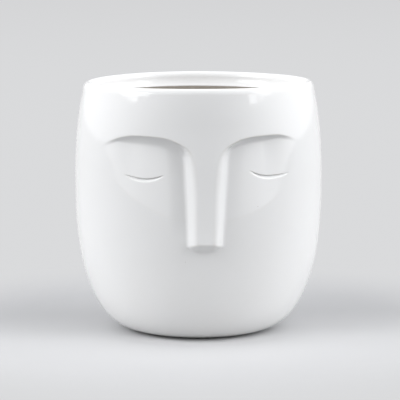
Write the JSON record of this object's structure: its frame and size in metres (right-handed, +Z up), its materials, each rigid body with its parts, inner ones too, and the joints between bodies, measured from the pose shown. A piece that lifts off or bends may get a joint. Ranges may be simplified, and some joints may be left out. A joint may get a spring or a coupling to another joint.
{
  "type": "head planter",
  "caption": "Round white glazed ceramic planter with a calm, closed-eyed face in relief, a drain hole with a push-in stopper, a mesh disc inside and anti-slip pads under the foot.",
  "frame": {"origin": "on the ground under the pot's axis, in the plane of the pads' undersides", "axes": "+Z up along the pot's axis; the face looks along -Y; +X is to the right of someone who looks at the face"},
  "size_m": [0.15, 0.1554, 0.1517],
  "materials": {
    "white_glaze": "white gloss glaze on stoneware, unglazed warm grey inside and under the foot",
    "grey_silicone": "moulded silicone rubber, satin",
    "dark_mesh": "moulded black polypropylene mesh, matt",
    "clear_pad": "soft anti-slip pads, satin"
  },
  "bodies": {
    "pot": {"pot_body": "white_glaze", "foot_pad_1": "clear_pad", "foot_pad_2": "clear_pad", "foot_pad_3": "clear_pad", "foot_pad_4": "clear_pad"},
    "plug": {"drain_plug": "grey_silicone"},
    "screen": {"drain_screen": "dark_mesh"}
  },
  "joints": [
    {"name": "plug_pull", "type": "slide", "parent": "pot", "child": "plug", "axis": [0, 0, -1], "range_m": [0, 0.02]},
    {"name": "screen_lift", "type": "slide", "parent": "pot", "child": "screen", "axis": [0, 0, 1], "range_m": [0, 0.16]}
  ]
}
